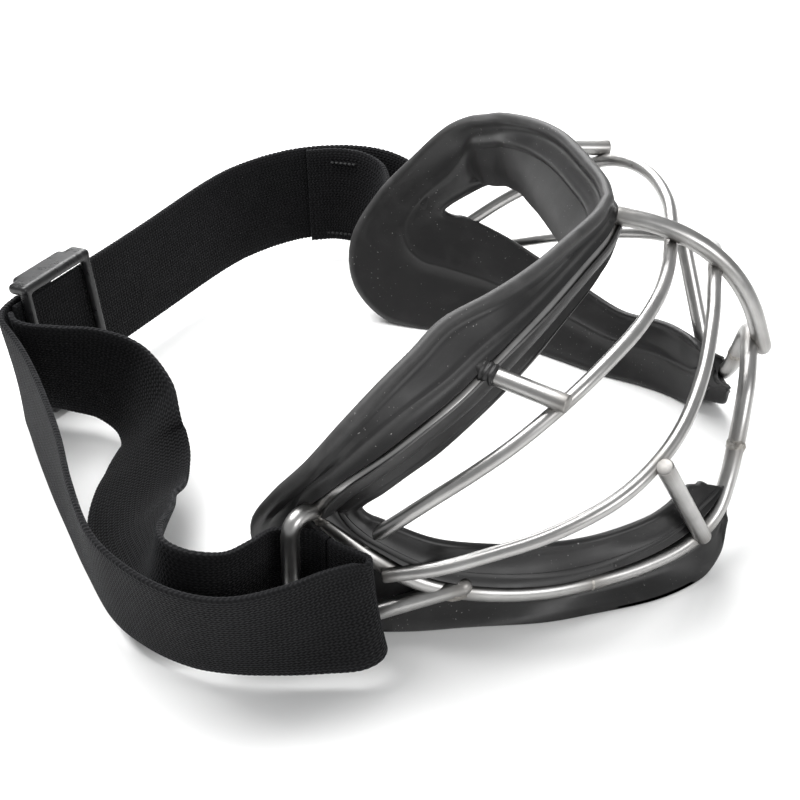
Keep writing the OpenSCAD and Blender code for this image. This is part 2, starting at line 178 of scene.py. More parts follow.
def carried(t):
    """Sideways directions carried along the curve without twist."""
    n = np.zeros_like(t)
    first = np.array([0, 0, 1.0]) if abs(t[0][2]) < 0.8 else np.array([1.0, 0, 0])
    n[0] = unit(first - (first @ t[0]) * t[0])
    for i in range(1, len(t)):
        n[i] = unit(n[i - 1] - (n[i - 1] @ t[i]) * t[i])
    return n


def bend(start, corner, end, radius, steps=12):
    start, corner, end = (np.array(p, float) for p in (start, corner, end))
    a, b = corner + unit(start - corner) * radius, corner + unit(end - corner) * radius
    k = np.linspace(0, 1, steps + 1)[:, None]
    return (a * (1 - k) + corner * k) * (1 - k) + (corner * (1 - k) + b * k) * k


def grid_mesh(name, rings, u, v, caps=True):
    """Closed rings of points in millimetres as a mesh in metres. u and v are lengths for the UV map."""
    n, m = rings.shape[:2]
    mesh = bpy.data.meshes.new(name)
    i, j = np.meshgrid(np.arange(n - 1), np.arange(m), indexing="ij")
    k = (j + 1) % m
    quads = np.stack([i * m + j, i * m + k, (i + 1) * m + k, (i + 1) * m + j], axis=-1).reshape(-1, 4)
    faces = quads.tolist()
    if caps:
        faces += [list(range(m))[::-1], [(n - 1) * m + q for q in range(m)]]
    mesh.from_pydata((rings.reshape(-1, 3) * MM).tolist(), [], faces)
    uu = np.broadcast_to(np.asarray(u, float)[:, None], (n, m + 1))
    vv = np.broadcast_to(np.asarray(v, float), (n, m + 1))
    corners = [(i, j), (i, j + 1), (i + 1, j + 1), (i + 1, j)]
    uv = np.stack([np.stack([uu[a, b], vv[a, b]], axis=-1) for a, b in corners], axis=-2).reshape(-1, 2)
    layer = mesh.uv_layers.new(name="Surface")
    full = np.zeros((len(mesh.loops), 2))
    full[: len(uv)] = uv * MM
    if caps:
        full[len(uv): len(uv) + m] = rings[0][::-1][:, [0, 2]] * MM
        full[len(uv) + m:] = rings[-1][:, [0, 2]] * MM
    layer.data.foreach_set("uv", full.ravel())
    return mesh


def finish_object(name, mesh, body, material, nodes=(), sharp=40):
    bm = bmesh.new()
    bm.from_mesh(mesh)
    bmesh.ops.recalc_face_normals(bm, faces=bm.faces)
    bm.to_mesh(mesh)
    bm.free()
    mesh.polygons.foreach_set("use_smooth", [True] * len(mesh.polygons))
    mesh.set_sharp_from_angle(angle=math.radians(sharp))
    obj = bpy.data.objects.new(name, mesh)
    bpy.context.scene.collection.objects.link(obj)
    mesh.materials.append(material)
    if body:
        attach(obj, body)
    if nodes:
        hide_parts(*nodes)
    return obj


def attribute(mesh, name, values):
    a = mesh.attributes.new(name, "FLOAT", "POINT")
    a.data.foreach_set("value", np.asarray(values, np.float32))


def vertices(mesh):
    co = np.zeros(len(mesh.vertices) * 3)
    mesh.vertices.foreach_get("co", co)
    return co.reshape(-1, 3)


def tube(path, radius, sides=28, caps=("cut", "cut"), seed=0.0, step=1.0):
    """Rings of a round wire with slightly uneven drawing, and rounded or cut ends."""
    p = even(path, step)
    s = lengths(p)
    t = tangents(p)
    n = carried(t)
    b = np.cross(t, n)
    r = np.array([radius * (1 + 0.006 * noise.noise(Vector((x * 0.09, seed, 0)))) for x in s])
    centre, r_all, u = list(p), list(r), list(s)
    nn, bb = list(n), list(b)
    for end in (0, -1):
        side = -1 if end == 0 else 1
        kind = caps[end]
        if kind == "round":
            extra = [(math.sin(a) * radius, math.cos(a)) for a in np.radians([25, 50, 70, 84])]
        elif kind == "cut":
            extra = [(0.02, 0.998), (0.26, 0.93), (0.34, 0.84)]
        elif kind == "rough":
            extra = [(0.02, 0.99), (0.22, 0.9), (0.3, 0.7)]
        else:
            extra = []
        for out, scale in extra:
            c = p[end] + side * t[end] * out
            if end == 0:
                centre.insert(0, c)
                r_all.insert(0, r[0] * scale)
                u.insert(0, s[0] - out)
                nn.insert(0, n[0])
                bb.insert(0, b[0])
            else:
                centre.append(c)
                r_all.append(r[-1] * scale)
                u.append(s[-1] + out)
                nn.append(n[-1])
                bb.append(b[-1])
    centre, r_all, nn, bb = map(np.array, (centre, r_all, nn, bb))
    angle = np.arange(sides) * 2 * math.pi / sides
    rings = centre[:, None] + r_all[:, None, None] * (
        nn[:, None] * np.cos(angle)[None, :, None] + bb[:, None] * np.sin(angle)[None, :, None])
    return rings, np.array(u), np.linspace(0, 2 * math.pi * radius, sides + 1)


# ---------------------------------------------------------------- materials
class Shader:
    """Short way to write a node material."""

    def __init__(self, name):
        self.material = bpy.data.materials.new(name)
        self.material.use_nodes = True
        self.tree = self.material.node_tree
        self.bsdf = self.tree.nodes["Principled BSDF"]

    def node(self, kind, inputs=None, **props):
        made = self.tree.nodes.new(kind)
        for key, value in props.items():
            setattr(made, key, value)
        for key, value in (inputs or {}).items():
            self.feed(made, key, value)
        return made

    def feed(self, made, key, value):
        socket = made.inputs[key]
        if isinstance(value, bpy.types.NodeSocket):
            self.tree.links.new(value, socket)
        else:
            socket.default_value = value

    def math(self, operation, a, b=0.0, clamp=False):
        made = self.node("ShaderNodeMath", {0: a, 1: b}, operation=operation)
        made.use_clamp = clamp
        return made.outputs[0]

    def coords(self, kind, scale, offset=(0, 0, 0)):
        source = self.node("ShaderNodeTexCoord").outputs[kind]
        made = self.node("ShaderNodeMapping", {"Vector": source, "Scale": scale, "Location": offset})
        return made.outputs["Vector"]

    def noise(self, vector, scale=1.0, detail=3.0, rough=0.55, distortion=0.0):
        made = self.node("ShaderNodeTexNoise", {"Vector": vector, "Scale": scale, "Detail": detail,
                                                "Roughness": rough, "Distortion": distortion})
        return made.outputs["Fac"]

    def ramp(self, factor, stops):
        made = self.node("ShaderNodeValToRGB", {"Fac": factor})
        ramp = made.color_ramp
        while len(ramp.elements) < len(stops):
            ramp.elements.new(0.5)
        for element, (at, colour) in zip(ramp.elements, stops):
            element.position = at
            element.color = (*colour, 1) if len(colour) == 3 else colour
        return made.outputs["Color"]

    def remap(self, value, low, high, new_low, new_high):
        made = self.node("ShaderNodeMapRange", {"Value": value, "From Min": low, "From Max": high,
                                                "To Min": new_low, "To Max": new_high})
        made.clamp = True
        return made.outputs["Result"]

    def mix(self, factor, a, b):
        made = self.tree.nodes.new("ShaderNodeMix")
        made.data_type = "RGBA"
        self.feed(made, 0, factor)
        for key, value in ((6, a), (7, b)):
            if not isinstance(value, bpy.types.NodeSocket):
                value = (*value, 1)
            self.feed(made, key, value)
        return made.outputs[2]

    def read(self, name):
        return self.node("ShaderNodeAttribute", attribute_name=name).outputs["Fac"]

    def bump(self, height, strength, distance, normal=None):
        inputs = {"Height": height, "Strength": strength, "Distance": distance}
        if normal is not None:
            inputs["Normal"] = normal
        return self.node("ShaderNodeBump", inputs).outputs["Normal"]

    def set(self, **values):
        for key, value in values.items():
            self.feed(self.bsdf, key.replace("_", " "), value)


def steel_material():
    s = Shader("steel_satin_wire")
    streaks = s.noise(s.coords("UV", (70, 2600, 1)), 1.0, 4, 0.6)
    cloud = s.noise(s.coords("Object", (150, 150, 150)), 1.0, 3, 0.6)
    fine = s.noise(s.coords("Object", (2600, 2600, 2600)), 1.0, 2, 0.5)
    base = s.ramp(cloud, [(0.25, (0.34, 0.336, 0.329)), (0.5, (0.40, 0.395, 0.388)),
                          (0.8, (0.46, 0.455, 0.447))])
    drawn = s.mix(s.remap(streaks, 0.45, 0.75, 0, 0.22), base, (0.27, 0.265, 0.26))
    weld = s.read("weld")
    tint = s.math("MULTIPLY", weld, s.remap(cloud, 0.3, 0.7, 0.45, 0.85))
    colour = s.mix(tint, drawn, (0.16, 0.148, 0.135))
    s.set(Base_Color=colour, Metallic=1.0)
    rough = s.math("ADD", s.remap(streaks, 0.3, 0.8, 0.28, 0.40), s.math("MULTIPLY", weld, 0.16))
    s.set(Roughness=s.math("ADD", rough, s.remap(cloud, 0.3, 0.8, -0.03, 0.06)))
    height = s.math("ADD", s.math("MULTIPLY", streaks, 0.7), s.math("MULTIPLY", fine, 0.3))
    s.set(Normal=s.bump(height, 0.14, 0.0001))
    return s.material


def weld_material():
    s = Shader("steel_weld_bead")
    cloud = s.noise(s.coords("Object", (420, 420, 420)), 1.0, 4, 0.65)
    fine = s.noise(s.coords("Object", (1700, 1700, 1700)), 1.0, 3, 0.6)
    s.set(Base_Color=s.ramp(cloud, [(0.3, (0.20, 0.185, 0.17)), (0.55, (0.34, 0.325, 0.30)),
                                    (0.75, (0.50, 0.49, 0.47))]), Metallic=1.0)
    s.set(Roughness=s.remap(fine, 0.3, 0.7, 0.36, 0.62))
    s.set(Normal=s.bump(s.math("ADD", cloud, s.math("MULTIPLY", fine, 0.4)), 0.6, 0.0003))
    return s.material


def rubber_material():
    s = Shader("moulded_rubber")
    cloud = s.noise(s.coords("Object", (55, 55, 55)), 1.0, 4, 0.6)
    smears = s.noise(s.coords("Object", (90, 90, 90)), 1.0, 4, 0.6, 0.8)
    grain = s.noise(s.coords("Object", (1500, 1500, 1500)), 1.0, 3, 0.6)
    specks = s.noise(s.coords("Object", (1700, 1700, 1700)), 1.0, 1, 0.4)
    wear_and_highlight = s.read("wear_and_highlight")
    base = s.ramp(cloud, [(0.3, (0.0075, 0.0072, 0.0074)), (0.7, (0.014, 0.0134, 0.0136))])
    hazy = s.mix(s.remap(smears, 0.52, 0.78, 0, 0.5), base, (0.028, 0.027, 0.0275))
    # Paler where the edge mask is set: partly wear, partly a painted highlight along the gasket's edges
    worn_and_highlit = s.mix(s.math("MULTIPLY", wear_and_highlight, s.remap(smears, 0.3, 0.7, 0.35, 0.9)), hazy, (0.06, 0.059, 0.059))
    dust = s.math("MULTIPLY", s.remap(specks, 0.745, 0.79, 0, 0.8), s.remap(cloud, 0.42, 0.6, 0, 0.8))
    s.set(Base_Color=s.mix(dust, worn_and_highlit, (0.42, 0.41, 0.40)))
    rough = s.math("ADD", s.remap(smears, 0.3, 0.75, 0.36, 0.47), s.math("MULTIPLY", wear_and_highlight, 0.12))
    s.set(Roughness=s.math("ADD", rough, s.math("MULTIPLY", dust, 0.3)))
    s.set(Specular_IOR_Level=0.4)
    soft = s.bump(cloud, 0.08, 0.0012)
    s.set(Normal=s.bump(s.math("ADD", grain, s.math("MULTIPLY", dust, 1.5)), 0.10, 0.0001, soft))
    return s.material


def webbing_material():
    """Knitted elastic: slanted loops in columns, with a rounder selvedge."""
    s = Shader("elastic_webbing")
    source = s.node("ShaderNodeTexCoord").outputs["UV"]
    split = s.node("ShaderNodeSeparateXYZ", {"Vector": source})
    along, across = split.outputs["X"], split.outputs["Y"]
    column = s.math("PINGPONG", across, 0.00085)
    slant = s.math("MULTIPLY", column, 0.75)
    loops = s.math("SINE", s.math("MULTIPLY", s.math("ADD", along, slant), 2 * math.pi / 0.00115))
    ribs = s.math("SINE", s.math("MULTIPLY", across, 2 * math.pi / 0.00085))
    weave = s.math("ADD", s.math("MULTIPLY", loops, 0.32), s.math("MULTIPLY", ribs, 0.2))
    weave = s.math("ADD", weave, 0.5)
    fuzz = s.noise(s.coords("UV", (3800, 3800, 1)), 1.0, 3, 0.65)
    cloud = s.noise(s.coords("UV", (70, 110, 1)), 1.0, 4, 0.6)
    edge = s.read("wear_and_highlight")
    # Colour follows the knit's relief: painted shade in the hollows between loops, painted highlight on the
    # raised loop tops
    knit_painted_light = s.math("MULTIPLY", s.remap(weave, 0.25, 0.95, 0, 1), s.remap(fuzz, 0.25, 0.8, 0.45, 1.0))
    base = s.mix(knit_painted_light, (0.0016, 0.0016, 0.0018), (0.0105, 0.0105, 0.0115))
    tone = s.mix(s.remap(cloud, 0.4, 0.75, 0, 0.35), base, (0.011, 0.011, 0.012))
    lint = s.remap(s.noise(s.coords("UV", (1500, 900, 1)), 1.0, 2, 0.4), 0.76, 0.80, 0, 0.35)
    edged = s.mix(s.math("MULTIPLY", edge, 0.45), tone, (0.016, 0.016, 0.0175))
    s.set(Base_Color=s.mix(lint, edged, (0.05, 0.05, 0.052)))
    s.set(Roughness=s.remap(weave, 0.1, 0.9, 0.95, 0.72), Specular_IOR_Level=0.14)
    s.set(Sheen_Weight=0.05, Sheen_Roughness=0.4, Sheen_Tint=(0.75, 0.77, 0.82, 1))
    height = s.math("ADD", weave, s.math("MULTIPLY", fuzz, 0.45))
    s.set(Normal=s.bump(height, 0.85, 0.00035))
    return s.material


def thread_material():
    s = Shader("stitch_thread")
    twist = s.noise(s.coords("Object", (2600, 2600, 900)), 1.0, 2, 0.5)
    s.set(Base_Color=s.ramp(twist, [(0.3, (0.005, 0.005, 0.0055)), (0.7, (0.018, 0.018, 0.019))]))
    s.set(Roughness=s.remap(twist, 0.3, 0.7, 0.6, 0.8), Sheen_Weight=0.02)
    s.set(Normal=s.bump(twist, 0.6, 0.0002))
    return s.material


def plastic_material():
    s = Shader("adjuster_moulding")
    cloud = s.noise(s.coords("Object", (160, 160, 160)), 1.0, 3, 0.6)
    grain = s.noise(s.coords("Object", (2200, 2200, 2200)), 1.0, 3, 0.65)
    scuffs = s.noise(s.coords("Object", (700, 180, 180)), 1.0, 3, 0.5, 0.8)
    base = s.ramp(cloud, [(0.3, (0.006, 0.006, 0.0065)), (0.7, (0.012, 0.012, 0.013))])
    s.set(Base_Color=s.mix(s.remap(scuffs, 0.62, 0.74, 0, 0.5), base, (0.05, 0.05, 0.052)))
    s.set(Roughness=s.remap(scuffs, 0.35, 0.7, 0.24, 0.46))
    s.set(Normal=s.bump(s.math("ADD", grain, s.math("MULTIPLY", scuffs, 0.5)), 0.22, 0.00012))
    return s.material


def floor_material():
    s = Shader("studio_floor")
    cloud = s.noise(s.coords("Object", (9, 9, 9)), 1.0, 2, 0.5)
    s.set(Base_Color=s.ramp(cloud, [(0.3, (0.90, 0.90, 0.895)), (0.7, (0.925, 0.925, 0.92))]))
    s.set(Roughness=s.remap(cloud, 0.3, 0.7, 0.6, 0.7), Specular_IOR_Level=0.2)
    return s.material


STEEL = steel_material()
WELD = weld_material()
RUBBER = rubber_material()
WEBBING = webbing_material()
THREAD = thread_material()
PLASTIC = plastic_material()

# ---------------------------------------------------------------- wires
WELD_POINTS = np.concatenate([place(side, np.array(points, float)) for side in (RIGHT, LEFT) for points in (
    [TEMPLE_WELD, LOWER[0], UPPER_BAR[0], LOWER_BAR[0], LOOP_END, LOWER[-1], CENTRE[0], UPPER_BAR[-1],
     LOWER_BAR[-1], BRIDGE[-1], BROW_STRUT[0], BROW_STRUT[1], NOSE_STRUT[0], NOSE_STRUT[1],
     [57, 58.8, 7.4]],)]) * MM


def heat(mesh):
    """How near each vertex is to a weld, for the tint of the steel."""
    co = vertices(mesh)
    near = np.min(np.linalg.norm(co[:, None] - WELD_POINTS[None], axis=2), axis=1)
    attribute(mesh, "weld", np.exp(-((near / 0.0042) ** 2)))


def wire(name, path, radius, caps=("cut", "cut"), nodes=None):
    rings, u, v = tube(path, radius, caps=caps, seed=len(name) * 1.7)
    mesh = grid_mesh(name, rings, u, v)
    heat(mesh)
    return finish_object(name + "_steel", mesh, "frame", STEEL, nodes or (name,))


def both_sides(half):
    return np.concatenate([place(RIGHT, half), place(LEFT, half[:-1][::-1])])


brow_half = np.concatenate([[LOOP_END], bend(LOOP_END, POST_FOOT, POST_HEAD, 6),
                            bend(POST_FOOT, POST_HEAD, TEMPLE_WELD, 6), smooth([TEMPLE_WELD] + BROW, 12)])
wire("brow_wire", both_sides(brow_half), WIRE_R, ("round", "round"))
wire("nose_bridge", both_sides(smooth(BRIDGE, 10)), WIRE_R)
wire("centre_bar", place(LEFT, smooth(CENTRE, 10)), CENTRE_R, ("cut", "round"))
for side, word in ((RIGHT, "right"), (LEFT, "left")):
    wire("lower_wire_" + word, place(side, smooth(LOWER, 10)), WIRE_R)
    wire("upper_cage_bar_" + word, place(side, smooth(UPPER_BAR, 10)), CAGE_R)
    wire("lower_cage_bar_" + word, place(side, smooth(LOWER_BAR, 10)), CAGE_R)
    wire("brow_strut_" + word, place(side, np.array(BROW_STRUT, float)), WIRE_R)
    wire("nose_strut_" + word, place(side, np.array(NOSE_STRUT, float)), WIRE_R)


# ---------------------------------------------------------------- weld beads
def blob(bm, centre, axes, size, seed):
    """A small uneven bead, stretched along the given axes."""
    made = bmesh.ops.create_icosphere(bm, subdivisions=4, radius=1.0)
    for v in made["verts"]:
        d = v.co.copy()
        k = 1 + 0.16 * noise.noise(d * 1.9 + Vector((seed, 0, 0)))
        k += 0.06 * noise.noise(d * 5 + Vector((0, seed, 0)))
        p = sum((Vector(axes[i]) * (d[i] * size[i]) for i in range(3)), Vector()) * k
        v.co = Vector(centre) * MM + p * MM


def axes_of(t):
    t = unit(np.array(t, float))
    n = carried(np.array([t, t]))[0]
    return [t, n, np.cross(t, n)]


bm = bmesh.new()
for side in (RIGHT, LEFT):
    spots = [([73.5, 27.5, 13.6], [-3, -39, -13], (3.4, 2.45, 2.45)),
             ([75.5, -4, 33.7], [0.5, 9, -8], (3.0, 2.45, 2.5)),
             ([21.5, 91, 28], [-4, 0.6, 6.5], (2.6, 2.4, 2.4))]
    for k, (spot, run, size) in enumerate(spots):
        t = place(side, np.array(run, float)) - place(side, np.zeros(3))
        blob(bm, place(side, np.array(spot, float)), axes_of(t), size, 3.1 * k + side)
# A butt weld in the near lower wire
run = place(RIGHT, np.array([-8, 12.6, -0.6])) - place(RIGHT, np.zeros(3))
along, across, up = axes_of(run)
seam_r = WIRE_R + 0.02
seam = bmesh.ops.create_cone(bm, cap_ends=False, segments=40, radius1=seam_r, radius2=seam_r, depth=0.7)
middle = place(RIGHT, np.array([57, 58.6, 7.42]))
for v in seam["verts"]:
    p = middle + along * v.co.z + (across * v.co.x + up * v.co.y) * (1 + 0.02 * math.sin(v.co.x * 9))
    v.co = Vector(p) * MM
mesh = bpy.data.meshes.new("weld_beads")
bm.to_mesh(mesh)
bm.free()
finish_object("weld_beads_steel", mesh, "frame", WELD, ("weld_beads",), 180)


# ---------------------------------------------------------------- gasket
def arc(centre, s, f, radius, start, end, steps):
    a = np.radians(np.linspace(start, end, steps))
    return [centre + radius * (s * math.cos(x) + f * math.sin(x)) for x in a]


def between(a, b, count, swell=None, toward=None):
    out = []
    for k in range(1, count + 1):
        x = k / (count + 1)
        p = a * (1 - x) + b * x
        if swell:
            p = p + toward * swell * math.sin(math.pi * x)
        out.append(p)
    return out


def smoothstep(low, high, x):
    k = min(1.0, max(0.0, (x - low) / (high - low)))
    return k * k * (3 - 2 * k)


REAR_LIP = np.array([-1.0, -10.0, -11.0])


def section(wire_p, rim, corner, lip, brow, t, notch, deep):
    """One slice of the moulding, from the face rim over the outside to the lip and back along the inside.
    Where it is deep, at the brow, a second lip hangs behind the wire on the face side."""
    s = rim - lip
    s = unit(s - (s @ t) * t)
    f = unit(np.cross(t, s))
    low = 1 - brow
    groove = WIRE_R + 0.12 + 0.9 * low
    bead = 1.65
    c = rim - s * 1.1
    flat = corner - c
    flat = unit(flat - (flat @ t) * t)
    out = arc(c, s, f, bead, -80, 128, 12)
    neck = c + flat * (bead + 1.0) + f * 0.5
    out += [c + flat * (bead + 0.15) + f * 0.42, neck]
    corner_in = corner - flat * 1.0
    out += between(neck, corner_in, 5)
    turn = -6 + 50 * brow
    edge_out = arc(wire_p, s, f, groove + 1.1, turn, turn, 1)[0] + f * 0.9 * low
    drop = unit(edge_out - corner)
    corner_out = corner + drop * 0.9 - f * 0.25
    out += [corner_in, corner - flat * 0.35 + f * 0.12, corner + drop * 0.2 + f * 0.1, corner_out]
    shelf = between(corner_out, edge_out, 3, 0.3, -f)
    if notch > 0:
        shelf = [q * (1 - notch) + (edge_out + s * 0.5) * notch for q in shelf]
    out += shelf
    slot_out = arc(wire_p, s, f, groove + 0.12, turn - 5, turn - 5, 1)[0]
    out += [edge_out, edge_out * 0.6 + slot_out * 0.4 + f * 0.18, slot_out]
    out += arc(wire_p, s, f, groove, turn - 12, -172, 12)
    wrap = 96 * brow
    lip_in = arc(wire_p, s, f, groove, -180, -180 - wrap, 7)
    lip_out = arc(wire_p, s, f, groove + 1.0, -180 - wrap, -186, 7)
    cap = (lip_in[-1] + lip_out[0]) / 2 + unit(lip_in[-1] - lip_in[-2] + s * 1e-6) * 0.3
    out += lip_in + [cap] + lip_out
    face = lip + f * 1.35
    start = lip_out[-1]
    run = face - start
    along = unit(run)
    ridge = start + run * 0.34
    out += [start + run * 0.12 - f * 0.8 * low, ridge - along * 0.9 - f * 0.4 * low,
            ridge - along * 0.4 + f * 0.5 * low, ridge + along * 0.1 + f * 0.55 * low,
            ridge + along * 0.55 + f * 0.15 * low, ridge + along * 0.95 + f * 0.45 * low,
            ridge + along * 1.5 + f * 0.05 * low]
    out += between(out[-1], face, 3, 0.25, -f)
    out += arc(lip + s * 0.5, s, f, 1.35, 110, 250, 8)
    back_lip = out[-1]
    middle = lip * 0.58 + rim * 0.42
    hang = REAR_LIP - (REAR_LIP @ t) * t
    hang = (wire_p + hang) * deep + (back_lip * 0.7 + (middle - f * 1.5) * 0.3) * (1 - deep)
    mid = middle * (1 - deep) + (hang * 0.42 + rim * 0.58 + f * 1.6) * deep
    out += between(back_lip, hang, 4, 0.3 + 1.2 * deep, f)
    out += [hang + f * 0.1, hang - f * 0.9 * deep + s * 0.5]
    out += between(hang - f * 1.1 * deep + s * 1.2, mid - f * 1.5, 3)
    out += [mid - f * 1.85 - s * 0.5, mid - f * 2.05, mid - f * 1.8 + s * 0.7, mid - f * 1.35 + s * 1.5]
    back_rim = arc(c, s, f, bead, -96, -96, 1)[0]
    out += between(mid - f * 1.2 + s * 1.5, back_rim + f * 0.3 - s * 1.6, 5, 0.4, f)
    out += [back_rim + f * 0.3 - s * 1.2, back_rim - s * 0.3]
    return out


def gasket_rings(skew, step=0.9):
    """Rings of one side. With skew 1 the temple is pressed back a little, as soft rubber is."""
    stations = np.array([[x for part in row for x in part] + [share]
                         for row, share in zip(GASKET, BROW_SHARE)])
    for i, row in enumerate(stations):
        k = skew * math.cos(min(1, abs(i - 10.8) / 4.2) * math.pi / 2) ** 2
        row[4] -= 3.6 * k
        row[10] -= 3.2 * k
        row[11] -= 2.2 * k
    rows = even(smooth(stations, 14), step)
    t = tangents(rows[:, :3])
    t[-1] = [-1, 0, 0]
    rings = []
    for row, d in zip(rows, t):
        notch = 1 - smoothstep(3.0, 4.4, row[0]) if row[2] > 60 else 0
        deep = smoothstep(46, 57, row[2])
        brow = min(1, max(0, row[12]))
        rings.append(section(row[0:3], row[3:6], row[6:9], row[9:12], brow, d, notch, deep))
    return np.array(rings), rows


def closed_tip(half, rows):
    """The nose end closes in a rounded tip."""
    centre = half[0].mean(axis=0)
    run = unit(rows[0, :3] - rows[1, :3])
    tips = [centre + run * out_by + (half[0] - centre) * scale
            for out_by, scale in ((1.55, 0.80), (1.3, 0.9), (0.8, 0.97))]
    return np.concatenate([np.array(tips), half])


near, far = (closed_tip(*gasket_rings(skew)) for skew in (0, 1))
rings = np.concatenate([place(RIGHT, near), place(LEFT, far[:-1][::-1])])
# Slight unevenness of the moulding, then the flat foot on the table
for ring in rings:
    for p in ring:
        q = Vector(p) * 0.045
        p += np.array(noise.noise_vector(q)) * 0.12
rings[..., 2] = np.maximum(rings[..., 2], 0.0)
u = lengths(rings.mean(axis=1))
v = lengths_round(rings[len(rings) // 4])
mesh = grid_mesh("gasket", rings, u, v)
# Paler along the rim bead, the corner, the edge of the channel and its lip: partly wear, partly a painted
# highlight on these edges
profile = np.zeros(rings.shape[1])
profile[0:13] = [0.5, 0.7, 0.9, 1, 1, 1, 1, 1, 1, 0.9, 0.7, 0.4, 0.1]
profile[20:24] = [0.1, 0.8, 0.5, 0.1]
profile[27:29] = [0.5, 0.3]
profile[48:52] = [0.4, 0.7, 0.4, 0.1]
attribute(mesh, "wear_and_highlight", np.tile(profile, len(rings)))
finish_object("gasket_rubber_moulding", mesh, "frame", RUBBER, ("gasket",), 50)


# A wrinkled collar of the gasket's rubber round the foot of each brow strut
for side, word in ((RIGHT, "right"), (LEFT, "left")):
    base, top = (np.array(p) for p in BROW_STRUT)
    run = unit(top - base)
    path = place(side, base + run * np.linspace(0.6, 4.2, 13)[:, None])
    rings, u, v = tube(path, WIRE_R + 0.8, caps=("round", "rough"), seed=5.0, step=0.3)
    for i, ring in enumerate(rings):
        swell = 0.22 * math.sin(i * 1.5) - 0.035 * i
        middle = ring.mean(axis=0)
        ring += unit(ring - middle) * swell
        ring += np.array([noise.noise_vector(Vector(p) * 0.35) for p in ring]) * 0.3
    mesh = grid_mesh("strut_collar", rings, u, v)
    attribute(mesh, "wear_and_highlight", np.full(len(mesh.vertices), 0.15))
    finish_object("gasket_collar_" + word + "_rubber", mesh, "frame", RUBBER,
                  ("gasket",), 60)


# ---------------------------------------------------------------- strap
def webbing_outline():
    """Points round a slice of webbing: a flat face, a round edge, the other face and the other edge."""
    faces = np.linspace(-1, 1, 11)
    edge = (55, 0, -55)
    points = [("face", h, 1.0) for h in faces] + [("edge", 1, a) for a in edge]
    return points + [("face", h, -1.0) for h in faces[::-1]] + [("edge", -1, a) for a in edge[::-1]]


def ribbon(side, stations, seed, step=0.36):
    """Webbing with a rounded, finely scalloped selvedge. Returns rings, lengths and the edge mask."""
    rows = even(smooth(stations, 10), step)
    mid = place(side, rows[:, :3])
    flat = mid.copy()
    flat[:, 2] = 0
    t = tangents(flat)
    out = np.cross(np.array([0, 0, 1.0]), t)
    t3 = tangents(mid)
    up = np.array([0, 0, 1.0]) + out * rows[:, 4:5]
    up = unit(up - (up * t3).sum(axis=1, keepdims=True) * t3)
    across = unit(np.cross(up, t3))
    s = lengths(mid)
    half_t = STRAP_T / 2
    section_points = webbing_outline()
    rings = np.zeros((len(rows), len(section_points), 3))
    scallop = np.abs(np.sin(math.pi * s / 1.35)) - 0.6
    wave = np.array([noise.noise(Vector((x * 0.03, seed, 0))) for x in s])
    ripple = np.array([noise.noise(Vector((x * 0.11, seed + 5, 0))) for x in s])
    w = rows[:, 3] / 2
    for k, (kind, h, d) in enumerate(section_points):
        if kind == "face":
            crown = 1 - 0.10 * (1 - h * h)
            height = h * (w - 0.75)
            depth = d * half_t * crown + 0.12 * ripple * (1 - abs(h)) + 0.22 * wave * h * abs(h)
        else:
            a = math.radians(d)
            height = h * (w - 0.75 + 0.62 * math.cos(a)) + h * scallop * 0.26 * math.cos(a)
            depth = half_t * 0.98 * math.sin(a) + 0.22 * wave * h
        rings[:, k] = mid + up * height[:, None] + across * depth[:, None]
    # The surface lengths run up one face and down the other, so that the knit lines up at the edges
    v = lengths_round(rings[len(rings) // 2])
    mask = np.array([1.0 if kind == "edge" else (0.6 if abs(h) > 0.95 else 0.0)
                     for kind, h, _ in section_points])
    return rings, s, v, mask


def webbing(name, side, stations, node, seed, body="strap"):
    rings, s, v, mask = ribbon(side, stations, seed)
    mesh = grid_mesh(name, rings, s, v)
    attribute(mesh, "wear_and_highlight", np.tile(mask, len(rings)))
    return finish_object(name, mesh, body, WEBBING, (node,), 60)


webbing("strap_left_webbing", LEFT, LEFT_RUN + TURN + LEFT_TAIL, "strap_left_run", 2.0)
webbing("strap_right_inner_webbing", RIGHT, RIGHT_INNER, "strap_right_inner", 4.0)
outer = webbing("strap_right_outer_webbing", RIGHT, RIGHT_OUTER, "strap_right_outer", 7.0, None)
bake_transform(outer)


# ---------------------------------------------------------------- stitching
bm = bmesh.new()
for row in range(2):
    for i in range(6):
        x, y, z = place(LEFT, np.array([97.5 + 6.6 * row, -32 - 1.4 * i, 9.5 + row * 22]))
        turn = Matrix.Rotation(math.radians(17), 4, "Y") @ Matrix.Rotation(math.radians(84), 4, "Z")
        made = bmesh.ops.create_uvsphere(bm, u_segments=14, v_segments=10, radius=0.5)
        for v in made["verts"]:
            p = Vector((v.co.x * 1.25, v.co.y * 1.5, v.co.z * 0.72))
            v.co = (turn @ p + Vector((x, y, z))) * MM
mesh = bpy.data.meshes.new("strap_stitching")
bm.to_mesh(mesh)
bm.free()
finish_object("strap_stitches_thread", mesh, "strap", THREAD, ("strap_stitching",), 180)


# ---------------------------------------------------------------- adjuster
SLIDE_L, SLIDE_H, BAR_T = 27, 40, 3
ON_STRAP = (Matrix.Translation(Vector((8, TEMPLE_Y + 97.3, 20.5)))
            @ Matrix.Rotation(math.radians(-22), 4, "Z") @ Matrix.Rotation(math.radians(-9), 4, "X"))


